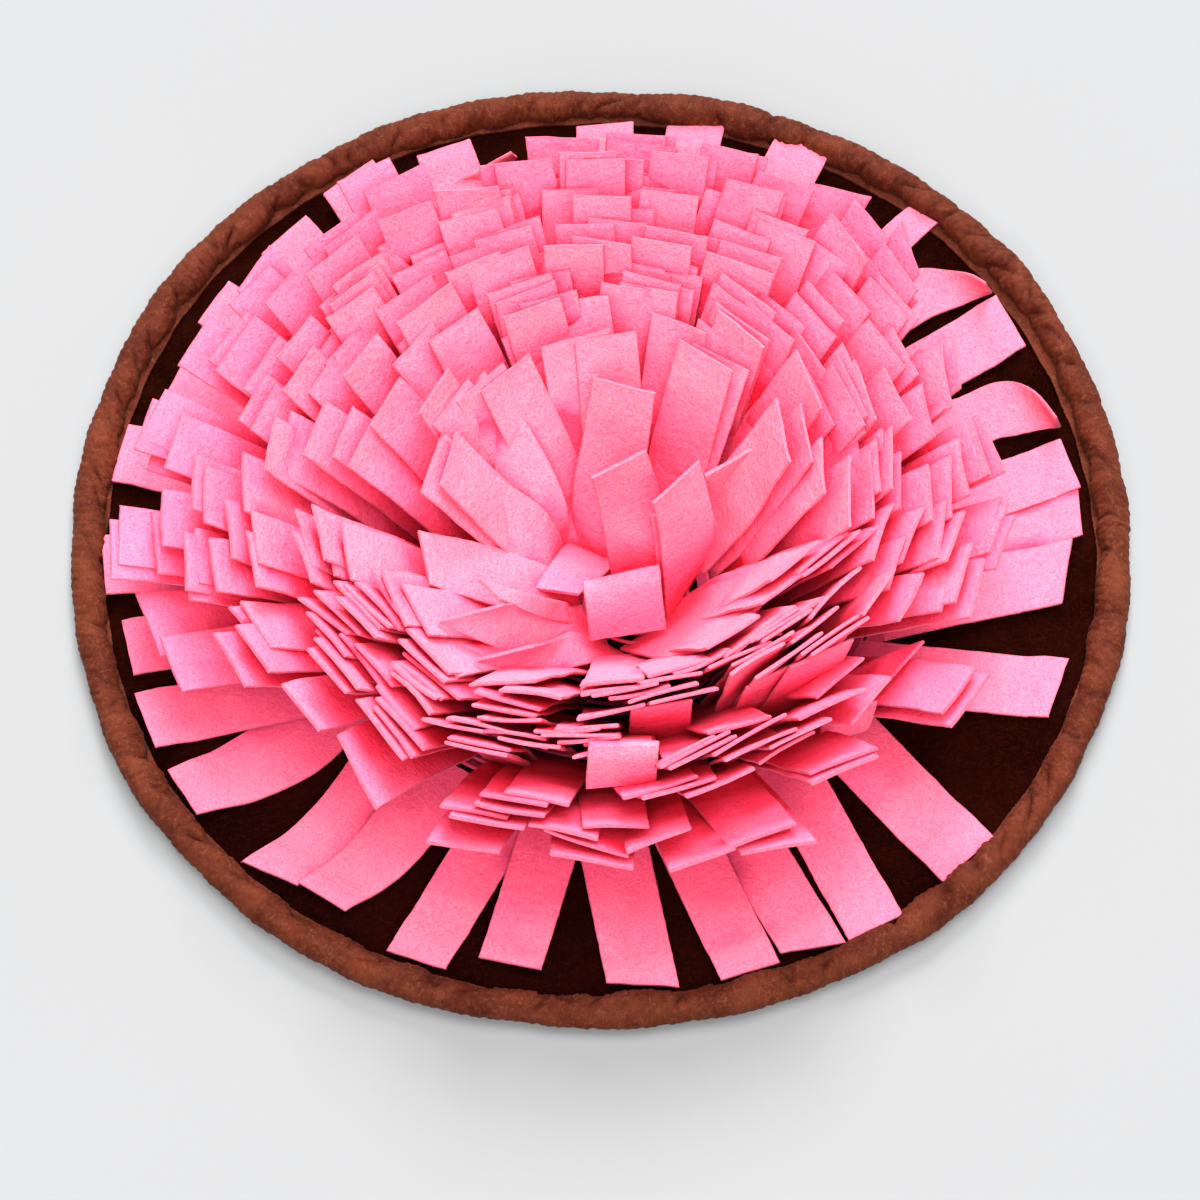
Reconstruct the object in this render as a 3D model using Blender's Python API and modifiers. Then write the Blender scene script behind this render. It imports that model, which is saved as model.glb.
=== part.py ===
"""Round snuffle mat: a flat cloth base, a gathered and filled rim, and a flower of felt fringes.

Metres, +Z up. The origin is on the underside of the base, at the middle of the mat, and the mat lies
on the plane z = 0. -Y is the side nearest to someone who looks down into the flower.

Each felt fringe is one comb: a band that is sewn down in a ring, and strips cut side by side out of
the same felt. The rings are not concentric: the flower was begun a little in front of the middle, and
each ring further out is centred nearer to the middle of the mat.
"""

import math
import random

import bmesh
import bpy
from mathutils import Vector

# Driving sizes, metres.
MAT_RADIUS = 0.2245  # outside of the rim, mean
OUTLINE_SQUARENESS = 0.0065  # share by which the outline bulges on its diagonals
BASE_THICKNESS = 0.0024
GAP = 0.0004  # between pieces that touch
ROLL_WIDTH = 0.0140  # the rim across, mean
ROLL_HEIGHT = 0.0135
ROLL_FOOT = 0.0052  # flat width of the rim where it rests
LEDGE_WIDTH = 0.0085  # seam allowance of the rim's casing, lying on the base
LEDGE_THICKNESS = 0.0012
FELT = 0.0020  # thickness of the felt
STRIP_WIDTH = 0.0260
BAND = 0.0070  # uncut edge of a comb, along the felt
STRIP_LENGTH = 0.0900  # from the sewn edge to the tip
SHOULDER = 0.0280  # where a strip that is pinched at its root has its full width
SLIT = 0.0009  # half of the way between the strips of a comb
SIDES = 72  # sections round the rim
SEED = 11

# One row for each ring of sewing, from the middle outwards. x and y are the ring's centre, mm. Gap is
# how far its first comb is from the last comb of the ring inside it where the two are nearest, mm: with
# the two centres it sets the ring's radius, and step is the same from comb to comb within the ring.
# Far, side and near are the angles in degrees at which the strips rise at the back, at the sides and
# in front; fan is how much further each next comb leans; offset is the share of a strip by which each
# next comb is turned; lengths is the number of straight lengths that a strip is made of, and droop the
# angle that the second loses.
RING = ("name", "combs", "teeth", "x", "y", "gap", "step", "far", "side", "near", "fan", "offset", "lengths", "droop")
RINGS = (
    ("heart", 1, 4, 16.5, -37.0, 6.0, 0.0, 61.0, 62.5, 66.5, 0.0, 0.00, 2, 0.0),
    ("ring1", 2, 8, 15.0, -33.5, 4.2, 4.2, 57.5, 59.5, 65.2, 1.6, 0.04, 2, 0.0),
    ("ring2", 3, 12, 12.0, -28.0, 5.1, 4.2, 54.5, 56.5, 62.6, 1.2, 0.06, 2, 0.0),
    ("ring3", 4, 16, 9.0, -22.0, 4.8, 4.0, 52.0, 53.3, 60.3, 0.9, 0.07, 2, 0.0),
    ("ring4", 3, 19, 6.5, -17.5, 4.2, 3.5, 48.8, 50.0, 57.0, 0.8, 0.08, 1, 0.0),
    ("ring5", 3, 22, 4.0, -13.5, 4.0, 3.6, 46.5, 47.5, 54.4, 1.0, 0.08, 1, 0.0),
    ("ring6", 3, 24, 2.0, -10.0, 4.0, 3.9, 43.5, 44.0, 49.5, 3.0, 0.08, 2, 6.0),
)
# The last comb lies flat. Its strips rise by a degree or two, which lifts their tips over the ledge.
FLAT_COMB = {"x": 0.0, "y": -4.5, "gap": 4.6, "teeth": 27, "rise": 2.25, "length": 83.0}

COLOURS = {
    "felt": ((0.95, 0.22, 0.42, 1.0), 0.9),
    "base": ((0.045, 0.012, 0.008, 1.0), 0.95),
    "rim": ((0.17, 0.055, 0.028, 1.0), 0.6),
}


def material(name):
    found = bpy.data.materials.get(name)
    if found:
        return found
    colour, roughness = COLOURS[name]
    found = bpy.data.materials.new(name)
    found.use_nodes = True
    shader = found.node_tree.nodes["Principled BSDF"]
    shader.inputs["Base Color"].default_value = colour
    shader.inputs["Roughness"].default_value = roughness
    shader.inputs["Metallic"].default_value = 0.0
    found.diffuse_color = colour
    return found


def add_object(name, mesh, material_name, collection, parent):
    made = bpy.data.objects.new(name, mesh)
    own = material(material_name).copy()
    own.name = f"{material_name}_{name}"
    mesh.materials.append(own)
    collection.objects.link(made)
    made.parent = parent
    return made


def outline(angle, radius):
    """The mat isn't a true circle: it bulges a little on its diagonals, and it wanders."""
    share = -OUTLINE_SQUARENESS * math.cos(4 * angle)
    share += 0.0016 * math.sin(3 * angle + 0.6) + 0.0010 * math.sin(7 * angle + 2.1)
    return radius * (1 + share)


def on_outline(angle, radius, height=0.0):
    length = outline(angle, radius)
    return Vector((length * math.cos(angle), length * math.sin(angle), height))


def build_base(collection, parent):
    """One flat round of cloth, which ends just inside the foot of the rim."""
    curve = bpy.data.curves.new("base_outline", "CURVE")
    curve.dimensions = "2D"
    curve.fill_mode = "BOTH"
    curve.extrude = BASE_THICKNESS / 2
    spline = curve.splines.new("POLY")
    count = 96
    spline.points.add(count - 1)
    for index in range(count):
        at = on_outline(2 * math.pi * index / count, MAT_RADIUS - ROLL_WIDTH + 0.0002)
        spline.points[index].co = (at.x, at.y, 0.0, 1.0)
    spline.use_cyclic_u = True
    guide = bpy.data.objects.new("base_guide", curve)
    collection.objects.link(guide)
    graph = bpy.context.evaluated_depsgraph_get()
    mesh = bpy.data.meshes.new_from_object(guide.evaluated_get(graph))
    bpy.data.objects.remove(guide, do_unlink=True)
    welded = bmesh.new()
    welded.from_mesh(mesh)
    bmesh.ops.remove_doubles(welded, verts=welded.verts, dist=0.00001)
    bmesh.ops.recalc_face_normals(welded, faces=welded.faces)
    welded.to_mesh(mesh)
    welded.free()
    mesh.materials.clear()
    mesh.name = "base_cloth"
    made = add_object("base_cloth", mesh, "base", collection, parent)
    made.location = (0.0, 0.0, BASE_THICKNESS / 2)
    return made


def roll_section(angle, chance):
    """The rim's section as (distance inwards from the outline, height): a filled tube with a flat foot,
    fuller or slacker from pucker to pucker, and the casing's seam allowance lying on the base."""
    pucker = 0.5 * math.sin(31 * angle) + 0.3 * math.sin(47 * angle + 1.3) + chance.uniform(-0.5, 0.5)
    width = ROLL_WIDTH * (1 + 0.035 * pucker)
    height = ROLL_HEIGHT * (1 + 0.05 * pucker)
    lean = 0.0006 * math.sin(19 * angle + 0.4)
    ledge_foot = BASE_THICKNESS + GAP
    ledge_top = ledge_foot + LEDGE_THICKNESS
    ledge_end = ROLL_WIDTH + LEDGE_WIDTH * (0.9 + 0.12 * math.sin(5 * angle) + chance.uniform(-0.06, 0.06))
    middle = ROLL_WIDTH / 2
    return (
        (middle - ROLL_FOOT / 2, 0.0),
        (0.0006, height * 0.27),
        (ROLL_WIDTH - width, height * 0.56),
        (width * 0.20 + lean, height * 0.90),
        (middle + lean, height),
        (width * 0.80 + lean, height * 0.88),
        (width * 0.965, height * 0.56),
        (ROLL_WIDTH * 0.945, ledge_top),
        (ledge_end, ledge_top),
        (ledge_end, ledge_foot),
        (ROLL_WIDTH * 0.90, ledge_foot),
        (middle + ROLL_FOOT / 2, 0.0),
    )


def build_roll(collection, parent):
    chance = random.Random(SEED)
    mesh = bpy.data.meshes.new("edge_roll")
    shape = bmesh.new()
    loops = []
    for index in range(SIDES):
        angle = 2 * math.pi * index / SIDES
        loop = []
        for inwards, height in roll_section(angle, chance):
            at = on_outline(angle, MAT_RADIUS)
            at -= at.normalized() * inwards
            loop.append(shape.verts.new((at.x, at.y, height)))
        loops.append(loop)
    for index, loop in enumerate(loops):
        following = loops[(index + 1) % SIDES]
        for side in range(len(loop)):
            other = (side + 1) % len(loop)
            shape.faces.new((loop[side], following[side], following[other], loop[other]))
    bmesh.ops.recalc_face_normals(shape, faces=shape.faces)
    shape.to_mesh(mesh)
    shape.free()
    mesh.shade_smooth()
    mesh.set_sharp_from_angle(angle=math.radians(50))
    return add_object("edge_roll", mesh, "rim", collection, parent)


def between(row, angle):
    """How steeply the strips of a ring rise in this direction: far, side and near, blended."""
    up = math.sin(angle)
    rise = row["side"] * math.cos(angle) ** 2
    rise += (row["far"] if up > 0 else row["near"]) * up**2
    return rise


def slope(direction, rise):
    return direction * math.cos(rise) + Vector((0.0, 0.0, math.sin(rise)))


def build_comb(name, centre, radius, teeth, phase, rise_at, length, lengths, droop, seed, collection, parent):
    """One comb as an open surface, given its thickness by Solidify. rise_at(angle) is in degrees."""
    chance = random.Random(seed)
    pitch = 2 * math.pi / teeth
    pinched = 2 * radius * math.sin(pitch / 2) < STRIP_WIDTH * 0.93
    shape = bmesh.new()
    feet, notches = [], []
    for index in range(teeth):
        angle = (index + phase) * pitch
        out = Vector((math.cos(angle), math.sin(angle), 0.0))
        rise = math.radians(rise_at(angle))
        lift = BASE_THICKNESS + GAP + 0.0001 + FELT / 2 * math.cos(rise)
        foot = centre + out * radius + Vector((0.0, 0.0, lift))
        feet.append(shape.verts.new(foot))
        notches.append(shape.verts.new(foot + slope(out, rise) * BAND))
    for index in range(teeth):
        following = (index + 1) % teeth
        left, right = notches[index], notches[following]
        shape.faces.new((feet[index], feet[following], right, left))
        angle = (index + phase + 0.5) * pitch
        out = Vector((math.cos(angle), math.sin(angle), 0.0))
        across = Vector((-out.y, out.x, 0.0))
        middle = (left.co + right.co) / 2
        rise = rise_at(angle) + chance.uniform(-0.25, 0.25)
        reach = length - BAND + chance.uniform(-0.0035, 0.0025)
        stations = [reach]
        if lengths == 2:
            stations = [SHOULDER if pinched else reach * 0.5, reach]
        walked = 0.0
        for step, station in enumerate(stations):
            lean = math.radians(rise - droop * step)
            middle = middle + slope(out, lean) * (station - walked)
            walked = station
            half = min(STRIP_WIDTH / 2, (middle - centre).to_2d().length * math.tan(pitch / 2) - SLIT)
            tilt = Vector((0.0, 0.0, chance.uniform(-0.0002, 0.0002)))
            next_left = shape.verts.new(middle - across * half - tilt)
            next_right = shape.verts.new(middle + across * half + tilt)
            shape.faces.new((left, right, next_right, next_left))
            left, right = next_left, next_right
    bmesh.ops.recalc_face_normals(shape, faces=shape.faces)
    mesh = bpy.data.meshes.new(name)
    shape.to_mesh(mesh)
    shape.free()
    mesh.shade_smooth()
    mesh.set_sharp_from_angle(angle=math.radians(35))
    made = add_object(name, mesh, "felt", collection, parent)
    solid = made.modifiers.new("felt thickness", "SOLIDIFY")
    solid.thickness = FELT
    solid.offset = 0.0
    solid.use_even_offset = False
    return made


def build_fringes(collection, parent):
    number = 0
    radius = 0.0
    inner = Vector((RINGS[0][RING.index("x")], RINGS[0][RING.index("y")], 0.0)) / 1000
    for values in RINGS:
        row = dict(zip(RING, values))
        centre = Vector((row["x"], row["y"], 0.0)) / 1000
        radius += (centre - inner).length + row["gap"] / 1000
        inner = centre
        turn = 0.31 * (number + 1)
        for comb in range(row["combs"]):
            number += 1
            if comb:
                radius += row["step"] / 1000
            build_comb(
                f"fringe_{number:02d}_{row['name']}",
                centre,
                radius,
                row["teeth"],
                turn + row["offset"] * comb,
                lambda angle, comb=comb, row=row: between(row, angle) - comb * row["fan"],
                STRIP_LENGTH,
                row["lengths"],
                row["droop"],
                SEED + number,
                collection,
                parent,
            )
    centre = Vector((FLAT_COMB["x"], FLAT_COMB["y"], 0.0)) / 1000
    build_comb(
        f"fringe_{number + 1:02d}_flat",
        centre,
        radius + (centre - inner).length + FLAT_COMB["gap"] / 1000,
        FLAT_COMB["teeth"],
        0.2,
        lambda angle: FLAT_COMB["rise"],
        FLAT_COMB["length"] / 1000,
        2,
        0.0,
        SEED,
        collection,
        parent,
    )


def main():
    for old in list(bpy.data.objects):
        bpy.data.objects.remove(old, do_unlink=True)
    collection = bpy.data.collections.new("snuffle_mat")
    bpy.context.scene.collection.children.link(collection)
    root = bpy.data.objects.new("mat_root", None)
    collection.objects.link(root)
    build_base(collection, root)
    build_roll(collection, root)
    build_fringes(collection, root)


main()
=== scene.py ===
import math
import random

import bpy
import numpy as np
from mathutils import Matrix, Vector
from mathutils.bvhtree import BVHTree


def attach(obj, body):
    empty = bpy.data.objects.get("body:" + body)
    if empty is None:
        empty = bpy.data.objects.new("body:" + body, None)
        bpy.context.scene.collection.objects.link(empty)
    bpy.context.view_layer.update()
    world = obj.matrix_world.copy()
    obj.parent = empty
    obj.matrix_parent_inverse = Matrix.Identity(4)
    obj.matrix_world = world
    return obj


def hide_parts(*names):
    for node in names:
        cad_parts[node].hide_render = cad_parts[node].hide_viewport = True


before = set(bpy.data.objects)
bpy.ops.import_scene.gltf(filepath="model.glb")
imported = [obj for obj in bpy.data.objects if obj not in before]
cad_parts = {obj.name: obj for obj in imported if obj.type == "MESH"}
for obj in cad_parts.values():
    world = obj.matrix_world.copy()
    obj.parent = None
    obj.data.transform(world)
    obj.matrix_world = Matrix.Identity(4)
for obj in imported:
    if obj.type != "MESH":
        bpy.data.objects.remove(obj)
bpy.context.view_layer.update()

# ---------------------------------------------------------------- sizes, metres
MAT_RADIUS = 0.2245
OUTLINE_SQUARENESS = 0.0065
BASE_THICKNESS = 0.0024
GAP = 0.0004
FELT = 0.0015
STRIP_WIDTH = 0.0260
STRIP_LENGTH = 0.0900
BAND = 0.0070

# One row for each ring of sewing, as the rings of fringe are set out on the base: x and y of its centre
# and the gaps in mm, angles in degrees.
RING = ("name", "combs", "teeth", "x", "y", "gap", "step", "far", "side", "near", "fan", "offset", "lengths", "droop")
RINGS = (
    ("heart", 1, 4, 16.5, -37.0, 6.0, 0.0, 61.0, 62.5, 66.5, 0.0, 0.00, 2, 0.0),
    ("ring1", 2, 8, 15.0, -33.5, 4.2, 4.2, 57.5, 59.5, 65.2, 1.6, 0.04, 2, 0.0),
    ("ring2", 3, 12, 12.0, -28.0, 5.1, 4.2, 54.5, 56.5, 62.6, 1.2, 0.06, 2, 0.0),
    ("ring3", 4, 16, 9.0, -22.0, 4.8, 4.0, 52.0, 53.3, 60.3, 0.9, 0.07, 2, 0.0),
    ("ring4", 3, 19, 6.5, -17.5, 4.2, 3.5, 48.8, 50.0, 57.0, 0.8, 0.08, 1, 0.0),
    ("ring5", 3, 22, 4.0, -13.5, 4.0, 3.6, 46.5, 47.5, 54.4, 1.0, 0.08, 1, 0.0),
    ("ring6", 3, 24, 2.0, -10.0, 4.0, 3.9, 43.5, 44.0, 49.5, 3.0, 0.08, 2, 6.0),
)
FLAT_COMB = {"x": 0.0, "y": -4.5, "gap": 4.6, "teeth": 27, "rise": 2.25, "length": 83.0}

# ---------------------------------------------------------------- camera
ELEVATION = math.radians(62.7)
DISTANCE = 1.6
TARGET = np.array((0.0, -0.0300, 0.0))
FOCAL = 3809.0  # in pixels of the 1200 pixel frame
EYE = TARGET + DISTANCE * np.array((0.0, -math.cos(ELEVATION), math.sin(ELEVATION)))
FORWARD = (TARGET - EYE) / DISTANCE
RIGHT = np.array((1.0, 0.0, 0.0))
UPWARD = np.cross(RIGHT, FORWARD)

camera_data = bpy.data.cameras.new("camera")
camera_data.sensor_width = 36.0
camera_data.lens = FOCAL / 1200 * 36
camera_data.clip_end = 20.0
camera = bpy.data.objects.new("camera", camera_data)
camera.location = EYE
camera.rotation_euler = (math.pi / 2 - ELEVATION, 0.0, 0.0)
bpy.context.scene.collection.objects.link(camera)
bpy.context.scene.camera = camera


def at_height(u, v, z):
    """The point at height z that the camera sees at u, v of its 1200 pixel frame."""
    way = FORWARD + RIGHT * (u - 600) / FOCAL + UPWARD * (600 - v) / FOCAL
    return EYE + way * (z - EYE[2]) / way[2]


def unit(vector):
    return vector / np.linalg.norm(vector, axis=-1, keepdims=True)


# ---------------------------------------------------------------- node helpers
class Nodes:
    """Short-hand for building one material's node tree."""

    def __init__(self, name):
        self.material = bpy.data.materials.new(name)
        self.material.use_nodes = True
        self.tree = self.material.node_tree
        self.shader = self.tree.nodes["Principled BSDF"]
        self.output = self.tree.nodes["Material Output"]

    def add(self, kind, **values):
        node = self.tree.nodes.new(kind)
        for key, value in values.items():
            setattr(node, key, value)
        return node

    def link(self, source, target):
        self.tree.links.new(source, target)

    def set(self, name, value):
        self.shader.inputs[name].default_value = value

    def coordinates(self, stretch=(1.0, 1.0, 1.0), turn=(0.0, 0.0, 0.0)):
        place = self.add("ShaderNodeTexCoord")
        mapping = self.add("ShaderNodeMapping")
        mapping.inputs["Scale"].default_value = stretch
        mapping.inputs["Rotation"].default_value = turn
        self.link(place.outputs["Object"], mapping.inputs["Vector"])
        return mapping.outputs["Vector"]

    def noise(self, scale, detail=3.0, roughness=0.6, distortion=0.0, stretch=(1.0, 1.0, 1.0), turn=(0.0, 0.0, 0.0)):
        node = self.add("ShaderNodeTexNoise")
        node.inputs["Scale"].default_value = scale
        node.inputs["Detail"].default_value = detail
        node.inputs["Roughness"].default_value = roughness
        node.inputs["Distortion"].default_value = distortion
        self.link(self.coordinates(stretch, turn), node.inputs["Vector"])
        return node.outputs["Fac"]

    def attribute(self, name):
        node = self.add("ShaderNodeAttribute", attribute_name=name)
        return node.outputs["Fac"]

    def math(self, operation, first, second=0.5, clamp=False):
        node = self.add("ShaderNodeMath", operation=operation, use_clamp=clamp)
        for socket, value in zip(node.inputs, (first, second)):
            if isinstance(value, (int, float)):
                socket.default_value = value
            else:
                self.link(value, socket)
        return node.outputs[0]

    def ramp(self, value, *stops, smooth=False):
        node = self.add("ShaderNodeValToRGB")
        node.color_ramp.interpolation = "EASE" if smooth else "LINEAR"
        elements = node.color_ramp.elements
        while len(elements) < len(stops):
            elements.new(0.5)
        for element, (position, colour) in zip(elements, stops):
            element.position = position
            element.color = (*colour, 1.0) if len(colour) == 3 else colour
        self.link(value, node.inputs["Fac"])
        return node.outputs["Color"]

    def mix(self, share, first, second, mode="MIX"):
        node = self.add("ShaderNodeMix", data_type="RGBA", blend_type=mode)
        for socket, value in ((node.inputs[0], share), (node.inputs[6], first), (node.inputs[7], second)):
            if isinstance(value, (int, float)):
                socket.default_value = value
            elif isinstance(value, tuple):
                socket.default_value = (*value, 1.0) if len(value) == 3 else value
            else:
                self.link(value, socket)
        return node.outputs[2]

    def bump(self, height, strength, distance, below=None):
        node = self.add("ShaderNodeBump")
        node.inputs["Strength"].default_value = strength
        node.inputs["Distance"].default_value = distance
        self.link(height, node.inputs["Height"])
        if below is not None:
            self.link(below, node.inputs["Normal"])
        return node.outputs["Normal"]


def felt_material():
    """Needle-punched felt: matted fibres, a mottled surface, rough cut edges with painted shade, and painted shade
    where little sky reaches a strip.
    """
    n = Nodes("felt_pink")
    mottle = n.noise(900.0, 3.0, 0.65)
    cloud = n.noise(120.0, 2.0, 0.5)
    fibre_a = n.noise(1500.0, 2.0, 0.6, 1.2, stretch=(1.0, 0.22, 0.6), turn=(0.3, 0.2, 0.6))
    fibre_b = n.noise(1500.0, 2.0, 0.6, 1.2, stretch=(0.25, 1.0, 0.6), turn=(0.2, 0.5, -0.5))
    fibres = n.math("MAXIMUM", fibre_a, fibre_b)
    colour = n.ramp(mottle, (0.34, (0.93, 0.158, 0.288)), (0.68, (0.98, 0.270, 0.412)))
    light = n.ramp(cloud, (0.35, (0.94, 0.94, 0.94)), (0.68, (1.0, 1.0, 1.0)))
    colour = n.mix(1.0, colour, light, "MULTIPLY")
    strands = n.ramp(fibres, (0.54, (0.0, 0.0, 0.0)), (0.72, (1.0, 1.0, 1.0)))
    colour = n.mix(n.math("MULTIPLY", strands, 0.45), colour, (1.0, 0.40, 0.54))
    # painted shade: where a strip's baked sky openness is low, these ramps darken and redden its colour, one ramp for
    # standing strips and one for lying strips and bands
    opened = n.attribute("open")
    standing_painted_shade = n.ramp(
        opened, (0.0, (0.60, 0.02, 0.04)), (0.13, (0.90, 0.19, 0.31)), (0.32, (0.97, 0.47, 0.60)), (0.56, (0.99, 0.66, 0.74)), (0.95, (1.0, 0.93, 0.86))
    )
    lying = n.ramp(opened, (0.0, (0.42, 0.13, 0.22)), (0.35, (0.74, 0.30, 0.42)), (0.62, (0.92, 0.50, 0.58)), (0.85, (0.98, 0.70, 0.70)))
    depth = n.mix(n.attribute("lying"), standing_painted_shade, lying)
    colour = n.mix(1.0, colour, depth, "MULTIPLY")
    # painted shade: the cut end and long sides of every strip are darkened against the light they catch from above
    edge = n.attribute("edge")
    colour = n.mix(n.math("MULTIPLY", edge, 0.45), colour, (0.42, 0.075, 0.125))
    n.link(colour, n.shader.inputs["Base Color"])
    n.set("Roughness", 0.94)
    n.set("Specular IOR Level", 0.03)
    n.set("Sheen Weight", 0.04)
    n.set("Sheen Roughness", 0.5)
    n.set("Sheen Tint", (1.0, 0.50, 0.68, 1.0))
    height = n.math("ADD", n.math("MULTIPLY", mottle, 0.7), n.math("MULTIPLY", fibres, 0.6))
    coarse = n.noise(330.0, 2.0, 0.55)
    first = n.bump(coarse, 0.55, 0.0014)
    n.link(n.bump(height, 0.65, 0.0006, first), n.shader.inputs["Normal"])
    return n.material


def base_material():
    """Very dark brown suede-like cloth: a short nap that lies this way and that, its paler specks partly the fibres'
    own tone and partly painted sheen.
    """
    n = Nodes("base_suede")
    nap = n.noise(1300.0, 3.0, 0.7, 0.6, stretch=(1.0, 0.35, 1.0), turn=(0.0, 0.0, 0.7))
    nap_b = n.noise(1100.0, 3.0, 0.7, 0.6, stretch=(0.35, 1.0, 1.0), turn=(0.0, 0.0, 0.5))
    strokes = n.noise(26.0, 3.0, 0.55, 0.8)
    nap_and_painted_sheen = n.math("MAXIMUM", nap, nap_b)
    dark = n.ramp(strokes, (0.36, (0.0040, 0.0003, 0.0001)), (0.68, (0.0100, 0.0011, 0.0005)))
    # paler nap specks: partly the fibres' own tone, partly painted sheen
    light = n.ramp(nap_and_painted_sheen, (0.52, (0.0, 0.0, 0.0)), (0.78, (1.0, 1.0, 1.0)))
    colour = n.mix(n.math("MULTIPLY", light, 0.5), dark, (0.036, 0.0055, 0.0026))
    n.link(colour, n.shader.inputs["Base Color"])
    n.set("Roughness", 0.97)
    n.set("Specular IOR Level", 0.01)
    n.set("Sheen Weight", 0.01)
    n.set("Sheen Roughness", 0.45)
    n.set("Sheen Tint", (0.75, 0.22, 0.12, 1.0))
    n.link(n.bump(nap_and_painted_sheen, 0.55, 0.0006), n.shader.inputs["Normal"])
    return n.material


def rim_material():
    """Brown casing cloth, gathered: fine weave, creases that run off the puckers with painted shade in them, paler in
    streaks.
    """
    n = Nodes("rim_casing")
    grain = n.noise(1500.0, 2.0, 0.6)
    streak = n.noise(420.0, 3.0, 0.65, 1.6, stretch=(1.0, 1.0, 0.35))
    patch = n.noise(60.0, 3.0, 0.6, 0.5)
    colour = n.ramp(patch, (0.30, (0.052, 0.0074, 0.0028)), (0.70, (0.118, 0.0240, 0.0100)))
    # paler streaks at random over the casing
    pale_streaks = n.ramp(streak, (0.50, (0.0, 0.0, 0.0)), (0.76, (1.0, 1.0, 1.0)))
    colour = n.mix(n.math("MULTIPLY", pale_streaks, 0.42), colour, (0.240, 0.074, 0.035))
    # painted shade: the colour is darkened along the puckers and the small creases of the casing
    painted_crease_shade = n.attribute("painted_crease_shade")
    colour = n.mix(n.math("MULTIPLY", painted_crease_shade, 0.9), colour, (0.030, 0.0028, 0.0010))
    arc, wrap = n.attribute("arc"), n.attribute("wrap")
    one = n.math("SINE", n.math("MULTIPLY", n.math("ADD", arc, wrap), 2 * math.pi / 0.00155))
    two = n.math("SINE", n.math("MULTIPLY", n.math("SUBTRACT", arc, n.math("MULTIPLY", wrap, 0.8)), 2 * math.pi / 0.00155))
    weave = n.math("ADD", n.math("MULTIPLY", n.math("MULTIPLY", one, two), 0.5), 0.5)
    colour = n.mix(1.0, colour, n.ramp(weave, (0.1, (0.84, 0.82, 0.80)), (0.9, (1.12, 1.13, 1.14))), "MULTIPLY")
    dots = n.ramp(grain, (0.35, (0.90, 0.90, 0.90)), (0.70, (1.08, 1.08, 1.08)))
    colour = n.mix(1.0, colour, dots, "MULTIPLY")
    n.link(colour, n.shader.inputs["Base Color"])
    n.set("Roughness", 0.62)
    n.set("Specular IOR Level", 0.06)
    n.set("Sheen Weight", 0.04)
    n.set("Sheen Roughness", 0.4)
    n.set("Sheen Tint", (0.95, 0.55, 0.40, 1.0))
    first = n.bump(streak, 0.42, 0.0016)
    n.link(n.bump(weave, 0.40, 0.00025, n.bump(grain, 0.30, 0.0003, first)), n.shader.inputs["Normal"])
    return n.material


# ---------------------------------------------------------------- mesh helpers
def make_object(name, points, faces, material, attributes=None, sharp=50.0):
    mesh = bpy.data.meshes.new(name)
    mesh.from_pydata(np.asarray(points).tolist(), [], np.asarray(faces).tolist())
    mesh.update()
    for key, values in (attributes or {}).items():
        layer = mesh.attributes.new(key, "FLOAT", "POINT")
        layer.data.foreach_set("value", np.asarray(values, dtype=np.float32))
    mesh.shade_smooth()
    mesh.set_sharp_from_angle(angle=math.radians(sharp))
    made = bpy.data.objects.new(name, mesh)
    mesh.materials.append(material)
    bpy.context.scene.collection.objects.link(made)
    return made


def along(line, shares):
    """Points of a sampled line at these shares of it, running on straight past either end."""
    count = len(line) - 1
    where = np.asarray(shares) * count
    index = np.clip(np.floor(where).astype(int), 0, count - 1)
    part = (where - index)[..., None]
    return line[index] * (1 - part) + line[index + 1] * part


def evenly(line, count):
    """The line sampled again at even distances."""
    steps = np.linalg.norm(np.diff(line, axis=0), axis=1)
    walked = np.concatenate(([0.0], np.cumsum(steps)))
    wanted = np.linspace(0.0, walked[-1], count)
    return np.stack([np.interp(wanted, walked, line[:, k]) for k in range(3)], axis=1), walked[-1]


ROWS = 38
COLUMNS = np.array((-1.0, -0.952, -0.66, -0.23, 0.23, 0.66, 0.952, 1.0))


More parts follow.
